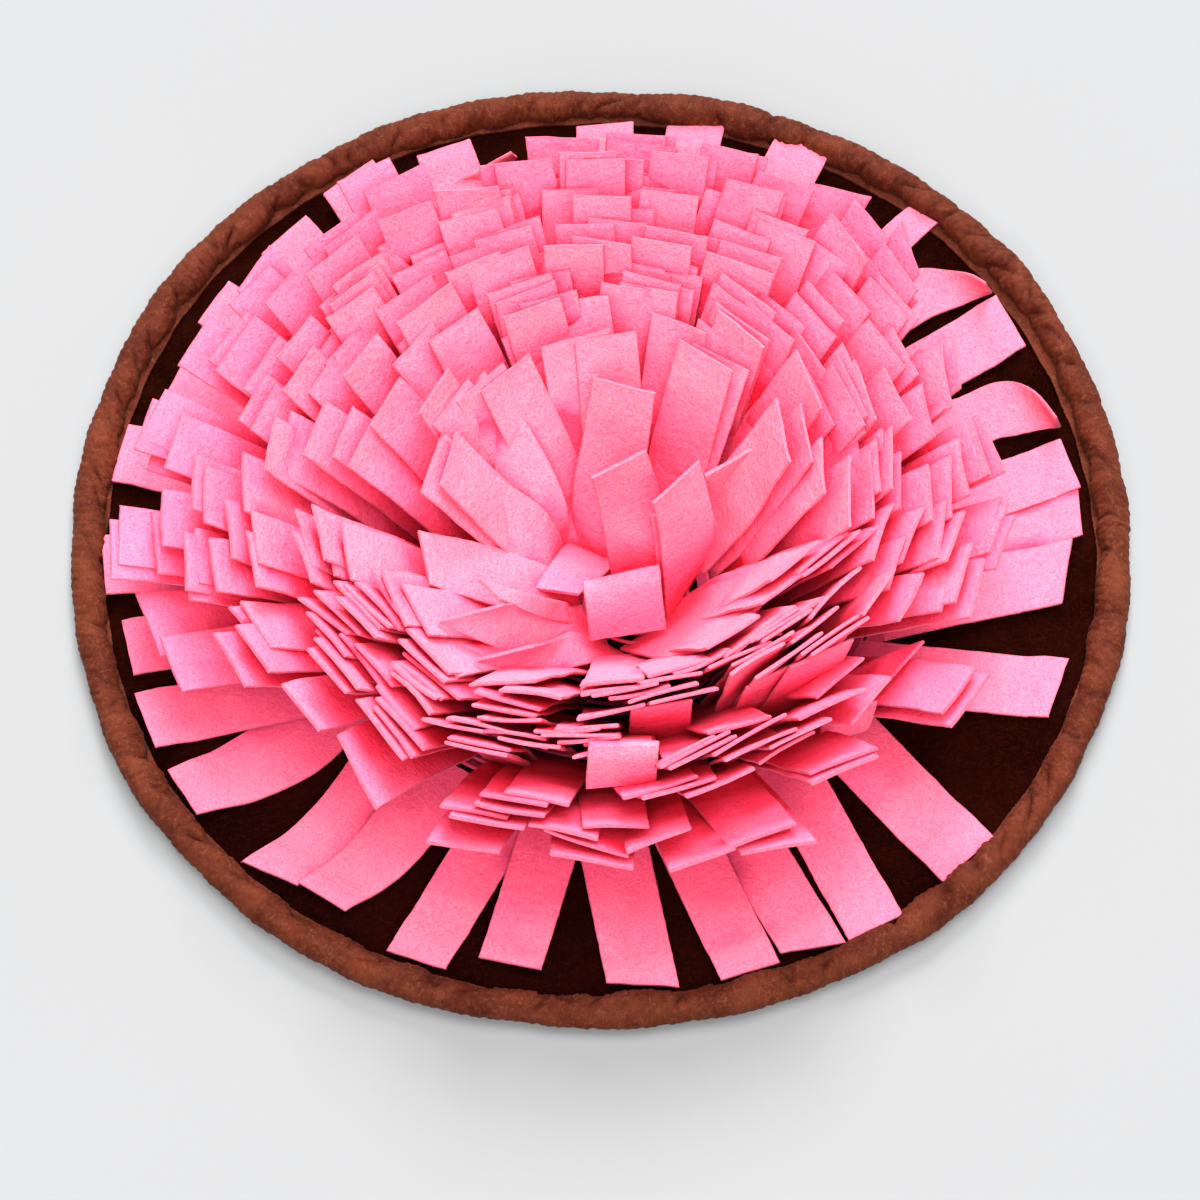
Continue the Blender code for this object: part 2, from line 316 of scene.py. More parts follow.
def strip_mesh(line, across, half, cut, seed, cup=0.0, ripple=0.0006, sides=None):
    """One strip of felt as a closed mesh. line is its middle from root to tip, across the unit vector over
    its width and half the half width at each sample; cut is the tangent of the angle of its cut end.
    sides, if given, are its two long sides, sampled as line is."""
    chance = np.random.default_rng(seed)
    length = np.linalg.norm(np.diff(line, axis=0), axis=1).sum()
    shares = np.concatenate((np.linspace(0.0, 1.0, ROWS - 1)[:-1], (1.0 - 0.0006 / length, 1.0)))
    tangent = unit(np.gradient(line, axis=0))
    across = unit(across - (across * tangent).sum(axis=1, keepdims=True) * tangent)
    normal = np.cross(tangent, across)
    grid = shares[:, None] * (1 + cut * COLUMNS[None, :] * half[-1] / length)
    centre, over, up = along(line, grid), unit(along(across, grid)), unit(along(normal, grid))
    wide = along(half[:, None], grid)[..., 0]
    phase = chance.uniform(0, 2 * math.pi, 6)
    s, q = grid, COLUMNS[None, :]
    wave = 0.55 * np.sin(2 * math.pi * 1.1 * s + phase[0] + 1.2 * q) + 0.45 * np.sin(2 * math.pi * 2.3 * s + phase[1] - 1.5 * q)
    wave += 0.25 * np.sin(2 * math.pi * 4.1 * s + phase[2] + 2.1 * q)
    fade = np.clip(s * 3.0, 0.0, 1.0)
    lift = ripple * wave * fade + cup * (q**2 - 0.33) * fade
    if sides is None:
        place = centre + over * (wide * q)[..., None]
    else:
        left, right = along(sides[0], grid), along(sides[1], grid)
        place = left * (1 - q[..., None]) / 2 + right * (1 + q[..., None]) / 2
        over = unit(right - left)
        up = unit(np.cross(along(tangent, grid), over))
    place = place + up * lift[..., None]
    rows, columns = grid.shape
    rough = chance.normal(0.0, 0.00005, (rows, 2))
    rough += 0.00012 * (chance.random((rows, 2)) ** 6)
    place[:, 0] += over[:, 0] * rough[:, :1]
    place[:, -1] += over[:, -1] * rough[:, 1:]
    ragged = chance.normal(0.0, 0.00012, columns)[:, None]
    place[-1] += unit(tangent[-1])[None, :] * ragged
    top = place + up * FELT / 2
    bottom = place - up * FELT / 2
    thin = 0.00018
    top[:, 0] -= up[:, 0] * thin
    top[:, -1] -= up[:, -1] * thin
    bottom[:, 0] += up[:, 0] * thin
    bottom[:, -1] += up[:, -1] * thin
    number = rows * columns
    index = np.arange(number).reshape(rows, columns)
    ring = np.concatenate((index[0, :-1], index[:-1, -1], index[-1, :0:-1], index[:0:-1, 0]))
    flat_place, flat_over = place.reshape(-1, 3), over.reshape(-1, 3)
    outward = np.zeros((len(ring), 3))
    at_row, at_column = ring // columns, ring % columns
    outward += flat_over[ring] * np.where(at_column == 0, -1.0, np.where(at_column == columns - 1, 1.0, 0.0))[:, None]
    end = unit(tangent[[0, -1]])
    outward += np.where((at_row == rows - 1)[:, None], end[1], 0.0) - np.where((at_row == 0)[:, None], end[0], 0.0)
    middle = flat_place[ring] + outward * chance.uniform(0.00005, 0.0003, (len(ring), 1))
    points = np.concatenate((top.reshape(-1, 3), bottom.reshape(-1, 3), middle))
    a, b, c, d = index[:-1, :-1].ravel(), index[:-1, 1:].ravel(), index[1:, 1:].ravel(), index[1:, :-1].ravel()
    faces = [np.stack((a, d, c, b), axis=1), np.stack((a, b, c, d), axis=1) + number]
    following = np.roll(ring, -1)
    walls = 2 * number + np.arange(len(ring))
    walls_next = np.roll(walls, -1)
    faces.append(np.stack((ring, following, walls_next, walls), axis=1))
    faces.append(np.stack((walls, walls_next, following + number, ring + number), axis=1))
    faces = np.concatenate(faces)
    edge = np.zeros(len(points))
    rim = np.zeros((rows, columns))
    rim[:, 0] = rim[:, -1] = rim[-1] = 1.0
    edge[:number] = edge[number : 2 * number] = rim.ravel()
    edge[2 * number :] = 1.0
    share = np.concatenate((grid.ravel(), grid.ravel(), grid.ravel()[ring]))
    return points, faces, edge, share


# ---------------------------------------------------------------- combs
def between(row, angle):
    """How steeply the strips of a ring rise in this direction, in degrees: far, side and near, blended."""
    up = math.sin(angle)
    return row["side"] * math.cos(angle) ** 2 + (row["far"] if up > 0 else row["near"]) * up**2


def lay_out():
    combs = []
    radius = 0.0
    inner = np.array((RINGS[0][3], RINGS[0][4])) / 1000
    for values in RINGS:
        row = dict(zip(RING, values))
        centre = np.array((row["x"], row["y"])) / 1000
        radius += np.linalg.norm(centre - inner) + row["gap"] / 1000
        inner = centre
        turn = 0.31 * (len(combs) + 1)
        for comb in range(row["combs"]):
            if comb:
                radius += row["step"] / 1000
            number = len(combs) + 1
            combs.append(
                {
                    "node": f"fringe_{number:02d}_{row['name']}",
                    "ring": row["name"],
                    "centre": centre,
                    "radius": radius,
                    "teeth": row["teeth"],
                    "phase": turn + row["offset"] * comb,
                    "rise": lambda angle, comb=comb, row=row: between(row, angle) - comb * row["fan"],
                    "length": STRIP_LENGTH,
                    "droop": row["droop"],
                }
            )
    centre = np.array((FLAT_COMB["x"], FLAT_COMB["y"])) / 1000
    combs.append(
        {
            "node": f"fringe_{len(combs) + 1:02d}_flat",
            "ring": "flat",
            "centre": centre,
            "radius": radius + np.linalg.norm(centre - inner) + FLAT_COMB["gap"] / 1000,
            "teeth": FLAT_COMB["teeth"],
            "phase": 0.2,
            "rise": lambda angle: FLAT_COMB["rise"],
            "length": FLAT_COMB["length"] / 1000,
            "droop": 0.0,
        }
    )
    return combs


COMBS = lay_out()


def root_of(comb, angle, rise):
    lift = BASE_THICKNESS + GAP + 0.0001 + FELT / 2 * math.cos(math.radians(rise))
    x, y = comb["centre"] + comb["radius"] * np.array((math.cos(angle), math.sin(angle)))
    return np.array((x, y, lift))


def bezier(p0, p1, p2, p3, count=40):
    t = np.linspace(0.0, 1.0, count)[:, None]
    return p0 * (1 - t) ** 3 + 3 * p1 * t * (1 - t) ** 2 + 3 * p2 * t**2 * (1 - t) + p3 * t**3


def standing_strip(comb, angle, tip, edge, bend, seed, width=STRIP_WIDTH, sway=0.0, cup=0.0):
    """A strip from its comb's sewing line to a tip. edge is the direction of its cut end, and bend the
    angle in degrees through which it curves over, sway sideways."""
    rise = comb["rise"](angle)
    root = root_of(comb, angle, rise)
    chord = tip - root
    reach = np.linalg.norm(chord)
    way = chord / reach
    level = unit(np.array((-way[1], way[0], 0.0)) + 1e-9)
    over = np.cross(way, level)
    if over[2] < 0:
        over = -over
    lean = math.tan(math.radians(bend / 2))
    aside = math.tan(math.radians(sway / 2))
    start = unit(way + over * lean + level * aside)
    stop = unit(way - over * lean - level * aside)
    line = bezier(root, root + start * reach * 0.36, tip - stop * reach * 0.36, tip)
    line, length = evenly(line, 40)
    tangent = unit(np.gradient(line, axis=0))
    first = np.array((-math.sin(angle), math.cos(angle), 0.0))
    if edge is None:
        edge = first
    if edge @ first < 0:
        edge = -edge
    body = unit(edge - (edge @ stop) * stop)
    cut = float(np.clip((edge @ stop) / max(edge @ body, 0.3), -0.45, 0.45))
    share = np.linspace(0.0, 1.0, 40)[:, None] ** 0.8
    across = first * (1 - share) + body * share
    across = across - (across * tangent).sum(axis=1, keepdims=True) * tangent
    out = np.linalg.norm(line[:, :2] - comb["centre"], axis=1)
    half = np.minimum(width / 2, out * math.tan(math.pi / comb["teeth"]) * 1.12)
    half = np.maximum.accumulate(half)
    return strip_mesh(line, unit(across), half, cut, seed, cup=cup)


def default_strip(comb, index, angle, seed):
    chance = random.Random(seed * 7919 + index)
    turn = math.degrees(angle)
    rise = comb["rise"](angle)
    rise += 1.3 * math.sin(5 * angle + 0.8) + chance.gauss(0.0, 0.5)
    aim = angle + math.radians(1.6 * math.sin(7 * angle + 2.0) + chance.gauss(0.0, 0.7))
    length = comb["length"] - abs(chance.gauss(0.0, 0.0018))
    if comb["ring"] == "flat":
        rise, bend = comb["rise"](angle), 0.0
    else:
        bend = comb["droop"] + chance.uniform(2.0, 10.0)
    chord = length * (1 - (math.radians(bend) ** 2) / 24)
    root = root_of(comb, angle, rise)
    lean = math.radians(rise)
    tip = root + chord * np.array((math.cos(aim) * math.cos(lean), math.sin(aim) * math.cos(lean), math.sin(lean)))
    side = aim + math.radians(chance.gauss(0.0, 2.5))
    edge = np.array((-math.sin(side), math.cos(side), chance.gauss(0.0, 0.025)))
    return standing_strip(
        comb, angle, tip, unit(edge), bend, seed * 131 + index, sway=chance.gauss(0.0, 3.0), cup=chance.gauss(0.0, 0.0004)
    )


def solve_tip(comb, u, v, reach):
    """Where on the camera's ray through u, v a strip of this comb can end: (point, angle of its root, how
    far its height is from what this comb's strips have there)."""
    heights = np.linspace(0.004, 0.0975, 188)
    way = FORWARD + RIGHT * (u - 600) / FOCAL + UPWARD * (600 - v) / FOCAL
    points = EYE + way * ((heights - EYE[2]) / way[2])[:, None]
    flat = points[:, :2] - comb["centre"]
    angles = np.arctan2(flat[:, 1], flat[:, 0])
    rises = np.array([comb["rise"](a) for a in angles])
    lifts = np.stack(
        (
            comb["centre"][0] + comb["radius"] * np.cos(angles),
            comb["centre"][1] + comb["radius"] * np.sin(angles),
            BASE_THICKNESS + GAP + 0.0001 + FELT / 2 * np.cos(np.radians(rises)),
        ),
        axis=1,
    )
    far = np.abs(np.linalg.norm(points - lifts, axis=1) - reach)
    usual = lifts[:, 2] + reach * np.sin(np.radians(rises))
    miss = far * 3 + np.abs(heights - usual) + np.where(far < 0.0012, 0.0, 0.02)
    k = int(np.argmin(miss))
    return points[k], angles[k], float(miss[k])


# Cut ends of standing strips as the camera sees them: u and v of both corners in the 1200 pixel frame.
# Each belongs to the sewing line from which a strip of the right length reaches it.
ENDS = (
    (364, 192, 423, 164), (434, 191, 498, 187), (445, 205, 510, 189), (451, 213, 509, 196), (456, 214, 519, 194), (438, 222, 497, 207),
    (379, 221, 430, 201), (384, 224, 436, 203), (377, 248, 427, 220), (410, 256, 479, 227), (391, 276, 445, 250), (450, 257, 506, 237),
    (481, 239, 539, 216), (474, 241, 531, 226), (445, 273, 500, 252), (467, 269, 529, 246), (503, 262, 564, 248), (376, 312, 430, 275),
    (397, 324, 451, 282), (429, 342, 478, 308), (487, 295, 551, 273), (496, 304, 555, 281), (510, 282, 570, 270), (520, 305, 576, 290),
    (503, 317, 560, 297), (621, 283, 677, 293), (601, 283, 661, 290), (612, 262, 671, 276), (623, 271, 681, 285), (638, 277, 694, 291),
    (602, 257, 664, 270), (628, 251, 687, 264), (640, 256, 698, 268), (578, 244, 638, 250), (597, 247, 656, 253), (572, 237, 631, 245),
    (544, 245, 603, 245), (555, 225, 614, 224), (588, 218, 647, 224), (604, 220, 662, 228), (632, 237, 692, 247), (646, 226, 708, 237),
    (542, 190, 599, 188), (550, 172, 607, 172), (539, 181, 598, 174), (563, 173, 622, 172), (573, 196, 631, 196), (617, 184, 676, 190),
    (638, 173, 698, 176), (643, 176, 699, 179), (566, 160, 625, 159), (585, 158, 644, 159), (559, 152, 617, 152), (607, 132, 666, 136),
    (618, 134, 676, 137), (607, 140, 665, 145), (620, 142, 678, 149), (526, 137, 584, 138), (540, 138, 598, 139), (480, 166, 537, 160),
    (494, 164, 552, 158), (652, 151, 709, 158), (661, 153, 718, 162), (703, 143, 758, 155), (712, 146, 768, 158), (727, 179, 784, 193),
    (759, 171, 814, 190), (812, 183, 870, 197), (711, 190, 755, 205), (641, 190, 699, 196), (731, 184, 787, 199), (753, 211, 808, 231),
    (758, 220, 816, 242), (831, 213, 868, 262), (844, 228, 880, 275), (862, 206, 884, 234), (821, 257, 870, 311), (818, 244, 860, 273),
    (810, 283, 842, 319), (796, 292, 836, 337), (721, 241, 782, 259), (700, 236, 758, 251), (707, 252, 774, 275), (714, 259, 769, 280),
    (682, 257, 745, 278), (646, 270, 702, 277), (723, 273, 776, 313), (714, 283, 762, 318), (752, 284, 806, 327), (743, 296, 793, 341),
    (716, 302, 769, 341), (718, 311, 765, 347), (732, 319, 784, 363), (794, 327, 826, 372), (869, 319, 905, 368), (337, 182, 389, 158),
    (304, 249, 356, 212), (324, 249, 375, 208), (306, 275, 357, 235), (228, 305, 269, 266), (238, 290, 269, 246), (178, 365, 209, 316),
    (265, 303, 308, 256), (208, 360, 247, 312), (215, 371, 254, 316), (243, 389, 280, 336), (277, 357, 311, 316), (238, 420, 266, 374),
    (250, 430, 277, 384), (283, 391, 313, 346), (285, 396, 318, 348), (298, 387, 332, 333), (309, 393, 341, 346), (326, 364, 363, 320),
    (345, 375, 376, 336), (329, 331, 372, 290), (344, 318, 387, 278), (330, 317, 371, 289), (329, 305, 373, 271), (320, 307, 366, 265),
    (332, 300, 378, 263), (332, 286, 379, 253), (421, 410, 447, 371), (903, 223, 918, 271), (877, 256, 917, 301), (884, 243, 918, 290),
    (871, 277, 908, 319), (880, 274, 918, 319), (892, 328, 919, 375), (883, 367, 911, 420), (920, 383, 934, 436), (929, 349, 941, 411),
    (936, 346, 947, 408), (941, 343, 951, 405), (950, 329, 961, 388), (965, 418, 985, 475), (971, 418, 991, 474), (979, 415, 1005, 471),
    (958, 437, 969, 494), (787, 357, 812, 406), (807, 368, 834, 425), (797, 350, 822, 408), (843, 344, 869, 398), (855, 360, 877, 420),
    (837, 355, 869, 415), (833, 366, 865, 425), (841, 382, 866, 433), (855, 430, 865, 487), (871, 451, 874, 518), (876, 440, 881, 490),
    (884, 430, 886, 484), (891, 427, 892, 488), (901, 452, 899, 508), (952, 456, 951, 517), (1001, 500, 989, 546), (1007, 502, 991, 552),
    (1016, 514, 996, 568), (965, 512, 947, 561), (973, 543, 954, 602), (985, 559, 971, 618), (960, 559, 941, 611), (923, 574, 900, 621),
    (924, 507, 900, 560), (905, 540, 887, 586), (892, 503, 872, 559), (976, 668, 942, 714), (990, 676, 951, 727), (165, 390, 138, 440),
    (168, 411, 147, 470), (182, 413, 164, 468), (162, 490, 162, 546), (120, 506, 118, 565), (110, 519, 111, 579), (151, 511, 158, 573),
    (195, 454, 193, 509), (204, 467, 203, 524), (226, 498, 232, 558), (244, 452, 244, 512), (250, 512, 258, 564), (247, 531, 258, 586),
    (276, 417, 264, 470), (291, 411, 275, 471), (327, 401, 302, 455), (296, 509, 311, 565), (295, 533, 311, 580), (311, 505, 325, 559),
    (324, 512, 336, 575), (341, 522, 352, 580), (184, 532, 186, 590), (194, 529, 199, 583), (185, 547, 190, 600), (209, 544, 216, 587),
    (135, 593, 160, 655), (160, 638, 182, 692), (152, 402, 135, 446), (352, 408, 333, 456), (231, 605, 270, 661), (242, 604, 268, 646),
    (236, 625, 269, 673), (214, 632, 245, 687), (281, 685, 319, 731), (308, 648, 346, 693), (307, 612, 345, 656), (316, 631, 360, 683),
    (315, 637, 358, 689), (340, 633, 380, 684), (355, 643, 392, 687), (334, 582, 378, 629), (336, 597, 375, 638), (344, 585, 388, 628),
    (355, 583, 400, 628), (372, 570, 400, 617), (380, 571, 406, 626), (400, 585, 429, 635), (406, 629, 448, 675), (421, 638, 455, 675),
    (398, 640, 444, 683), (398, 662, 440, 699), (390, 663, 434, 701), (395, 674, 427, 710), (404, 652, 458, 700), (357, 700, 404, 758),
    (375, 699, 424, 750), (378, 687, 412, 729), (374, 706, 412, 757), (339, 737, 374, 807), (315, 590, 359, 635), (300, 600, 345, 632),
    (847, 534, 800, 573), (859, 532, 806, 576), (878, 527, 832, 566), (808, 569, 762, 604),
)

# The same for strips that stand steeper or lean further than their neighbours, with the number of the
# sewing line that each one comes from.
NUMBERED_ENDS = (
    (423, 718, 482, 733, 16), (447, 718, 508, 730, 15), (478, 717, 540, 722, 13), (484, 731, 545, 738, 14), (449, 737, 509, 750, 17),
    (445, 743, 507, 756, 18), (498, 738, 560, 747, 15), (534, 732, 600, 730, 13), (542, 736, 618, 734, 14), (556, 729, 617, 728, 12),
    (560, 741, 618, 738, 14), (584, 744, 651, 740, 13), (573, 757, 640, 745, 15), (578, 721, 644, 705, 10), (611, 701, 669, 687, 8),
    (629, 703, 698, 682, 9), (581, 695, 645, 685, 7), (592, 696, 658, 684, 8), (581, 686, 643, 678, 4), (650, 703, 718, 687, 10),
    (643, 684, 700, 672, 7), (657, 765, 715, 737, 16), (660, 768, 731, 733, 17), (669, 768, 736, 735, 18), (713, 755, 787, 715, 18),
    (724, 759, 797, 728, 19), (623, 799, 698, 778, 17), (643, 801, 716, 778, 18), (686, 797, 755, 770, 19), (583, 828, 649, 825, 17),
    (628, 854, 690, 827, 18), (544, 830, 628, 856, 18), (742, 853, 816, 843, 19), (670, 872, 735, 849, 19), (730, 848, 797, 824, 18),
    (682, 672, 724, 655, 6), (709, 668, 772, 642, 9), (724, 654, 780, 630, 8), (754, 653, 812, 628, 10), (776, 627, 824, 598, 7),
    (780, 615, 731, 655, 7), (799, 608, 750, 641, 8), (807, 607, 757, 640, 9), (812, 610, 762, 641, 10), (794, 632, 733, 667, 12),
    (784, 642, 731, 675, 16), (822, 632, 756, 680, 15),  (859, 616, 802, 655, 16),
    (869, 618, 812, 655, 17), (834, 609, 795, 640, 13), (861, 567, 809, 618, 12), (895, 569, 862, 614, 14), 
    (818, 541, 772, 580, 3), (474, 804, 544, 819, 18), (480, 794, 547, 806, 17), (504, 793, 569, 804, 16),
    (440, 807, 507, 818, 18), (449, 817, 524, 828, 19), (426, 841, 499, 853, 19), (529, 825, 598, 837, 18), (550, 856, 633, 869, 19),
    (473, 685, 533, 680, 6), (500, 689, 560, 699, 8), (474, 693, 540, 710, 9),
    (472, 704, 535, 717, 10), 
    (541, 348, 610, 329, 5), (503, 339, 553, 317, 6), (547, 305, 608, 294, 6), 
    (776, 398, 790, 461, 4), (801, 404, 813, 461, 5), (821, 437, 823, 492, 6), (850, 456, 850, 527, 7),
    (680, 340, 733, 371, 5), (699, 320, 752, 357, 6), (654, 313, 706, 333, 6), (877, 748, 810, 775, 18), (878, 755, 812, 785, 19),
    (866, 688, 799, 718, 18), (831, 717, 770, 748, 19),
)

# Strips of the outermost comb, which lie flat: u and v of the two corners of the cut end, left and right as
# seen from the middle, and of a point further in on the left and on the right side.
FLAT_ENDS = (
    (391, 953, 441, 969, 449, 850, 521, 848),
    (479, 960, 541, 972, 525, 841, 567, 862),
    (608, 984, 678, 988, 580, 866, 654, 861),
    (721, 983, 779, 965, 665, 869, 727, 855),
    (782, 954, 844, 944, 735, 870, 785, 851),
    (849, 943, 902, 918, 785, 851, 853, 806),
    (942, 883, 994, 838, 863, 811, 916, 750),
    (135, 697, 156, 750, 186, 687, 211, 739),
    (122, 622, 134, 676),
    (102, 539, 107, 597),
    (129, 426, 112, 482),
    (158, 412, 184, 366),
    (1068, 661, 1048, 717, 976, 652, 973, 711),
    (1071, 542, 1062, 604, 998, 561, 1002, 612),
    (1077, 484, 1082, 534, 1014, 505, 1001, 558),
    (1060, 444, 1079, 489, 1002, 466, 1014, 510),
    (996, 297, 1025, 347, 932, 331, 962, 387),
    (777, 138, 831, 154),
    (668, 128, 724, 128),
    (577, 131, 633, 126),
    (417, 158, 470, 141),
    (324, 198, 373, 164),
    (262, 255, 306, 217),
    (199, 326, 229, 285),
)


def lying_height(out, lift):
    """The height of a strip that lies on the base, and on the rim's seam allowance further out."""
    ledge = np.clip((out - 0.188) / 0.012, 0.0, 1.0)
    over = np.clip((out - 0.110) / 0.040, 0.0, 1.0)
    return BASE_THICKNESS + 0.0007 + FELT / 2 + 0.0022 * ledge * ledge * (3 - 2 * ledge) + lift * over


# Strips of the outermost comb that lie in a curve: u and v of the left and the right end of each line
# across, from the sewn end outwards, and how far each lies above the base, in mm.
BENT_FLATS = (
    (0.0, ((366, 732, 414, 762), (346, 764, 394, 794), (320, 799, 366, 826), (284, 834, 334, 859), (242, 863, 298, 887))),
    (1.9, ((412, 764, 470, 786), (382, 804, 446, 826), (346, 848, 403, 876), (299, 886, 346, 914))),
    (0.0, ((836, 270, 868, 290), (860, 250, 892, 268), (885, 228, 915, 245), (908, 209, 937, 225))),
    (0.0, ((322, 680, 366, 722), (268, 717, 322, 767), (214, 750, 262, 798), (168, 772, 197, 816))),
)


def flat_strip(comb, row, seed):
    chance = random.Random(seed)
    left, right = at_height(row[0], row[1], 0.0052), at_height(row[2], row[3], 0.0052)
    tip = (left + right) / 2
    edge = right - left
    wide = min(max(np.linalg.norm(edge), 0.0245), 0.0290)
    away = tip[:2] - comb["centre"]
    angle = math.atan2(away[1], away[0])
    root = root_of(comb, angle, 0.0)
    if len(row) > 4:
        inner = (at_height(row[4], row[5], 0.0045) + at_height(row[6], row[7], 0.0045)) / 2
        # where the line from the tip through the inner point meets the sewing line
        way = unit((inner - tip)[:2])
        start = inner[:2] - comb["centre"]
        b = float(start @ way)
        gap = b * b - float(start @ start) + comb["radius"] ** 2
        met = start + way * (-b - math.sqrt(gap)) if gap > 0 else start * comb["radius"] / np.linalg.norm(start)
        angle = math.atan2(met[1], met[0])
        root = root_of(comb, angle, 0.0)
    else:
        inner = root + 0.5 * (tip - root)
    share = float(np.clip(np.linalg.norm(inner - root) / (np.linalg.norm(inner - root) + np.linalg.norm(tip - inner)), 0.3, 0.7))
    inner[2] = root[2]
    pull = (inner - (1 - share) ** 2 * root - share**2 * tip) / (2 * share * (1 - share))
    t = np.linspace(0.0, 1.0, 40)[:, None]
    line = (1 - t) ** 2 * root + 2 * t * (1 - t) * pull + t**2 * tip
    line, length = evenly(line, 40)
    line[:, 2] = lying_height(np.linalg.norm(line[:, :2], axis=1), 0.0019 * (seed % 2))
    line[:, 2] += 0.0006 * np.sin(np.linspace(0, 3.1, 40)) * chance.uniform(0.3, 1.6)
    first = np.array((-math.sin(angle), math.cos(angle), 0.0))
    edge = unit(edge)
    if edge @ first < 0:
        edge = -edge
    stop = unit(line[-1] - line[-3])
    body = unit(edge - (edge @ stop) * stop)
    cut = float(np.clip((edge @ stop) / max(edge @ body, 0.3), -0.45, 0.45))
    # square to the strip nearly all the way, and only near the tip in line with the cut
    tangent = unit(np.gradient(line, axis=0))
    square = np.stack((-tangent[:, 1], tangent[:, 0], np.zeros(40)), axis=1)
    square *= np.sign(square @ first)[:, None]
    share = np.linspace(0.0, 1.0, 40)[:, None] ** 3
    across = square * (1 - share) + body * share
    half = np.full(40, wide / 2)
    return strip_mesh(line, unit(across), half, cut, seed, ripple=0.00022)


def band_mesh(comb):
    """The uncut edge of a comb, sewn down in its ring."""
    count = 96
    shares = np.linspace(0.0, 1.0, 3)
    points, faces = [], []
    for k in range(count):
        angle = 2 * math.pi * k / count
        rise = math.radians(comb["rise"](angle))
        root = root_of(comb, angle, math.degrees(rise))
        out = np.array((math.cos(angle), math.sin(angle), 0.0))
        way = out * math.cos(rise) + np.array((0.0, 0.0, math.sin(rise)))
        normal = -out * math.sin(rise) + np.array((0.0, 0.0, math.cos(rise)))
        for side in (1, -1):
            for share in shares if side > 0 else shares[::-1]:
                points.append(root + way * BAND * share + normal * side * FELT * 0.42)
    each = 2 * len(shares)
    for k in range(count):
        for j in range(each):
            a, b = k * each + j, k * each + (j + 1) % each
            c, d = ((k + 1) % count) * each + (j + 1) % each, ((k + 1) % count) * each + j
            faces.append((a, d, c, b))
    return np.array(points), np.array(faces), np.zeros(len(points)), np.zeros(len(points))


def join(parts):
    points, faces, edges, shares, tones = [], [], [], [], []
    start = 0
    for number, (p, f, e, s) in enumerate(parts):
        points.append(p)
        faces.append(f + start)
        edges.append(e)
        shares.append(s)
        tones.append(np.full(len(p), (number * 0.618034) % 1.0))
        start += len(p)
    return np.concatenate(points), np.concatenate(faces), {
        "edge": np.concatenate(edges),
        "along": np.concatenate(shares),
        "tone": np.concatenate(tones),
    }


